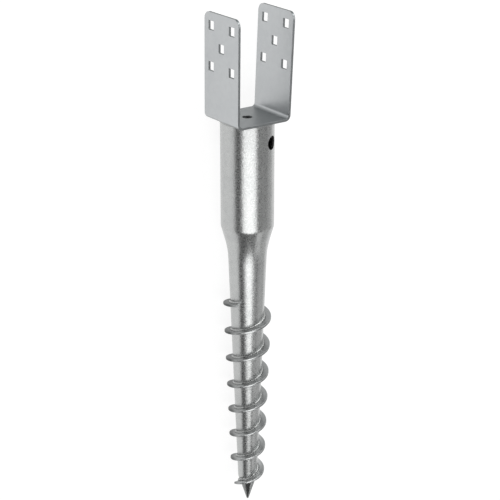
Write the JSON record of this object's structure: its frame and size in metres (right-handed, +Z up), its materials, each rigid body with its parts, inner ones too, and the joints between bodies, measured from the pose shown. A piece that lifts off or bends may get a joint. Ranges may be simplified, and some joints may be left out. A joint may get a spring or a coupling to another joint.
{
  "type": "foundation ground screw",
  "caption": "Galvanised steel ground screw with a tapered tube, a helical flight and a folded U fork for a square timber post.",
  "frame": {"origin": "middle of the underside of the bounding box, on the floor that the screw lies on", "axes": "+Y along the screw from its point to its fork, in plan; +Z up from the floor; +X to the right flange, the one that leans outwards. The tube's own axis drops 1.04 degrees towards the point."},
  "size_m": [0.0832, 0.659, 0.0731],
  "materials": {
    "galvanised_sheet": "hot-dip galvanised, fine spangle, satin",
    "galvanised_tube": "hot-dip galvanised, mottled, half gloss",
    "galvanised_flight": "hot-dip galvanised, dull and dark at the edges",
    "galvanised_weld": "hot-dip galvanised weld bead"
  },
  "bodies": {
    "root": {"post_fork": "galvanised_sheet", "tapered_tube": "galvanised_tube", "helical_flight": "galvanised_flight", "fork_weld": "galvanised_weld", "flight_weld": "galvanised_weld"}
  },
  "joints": []
}
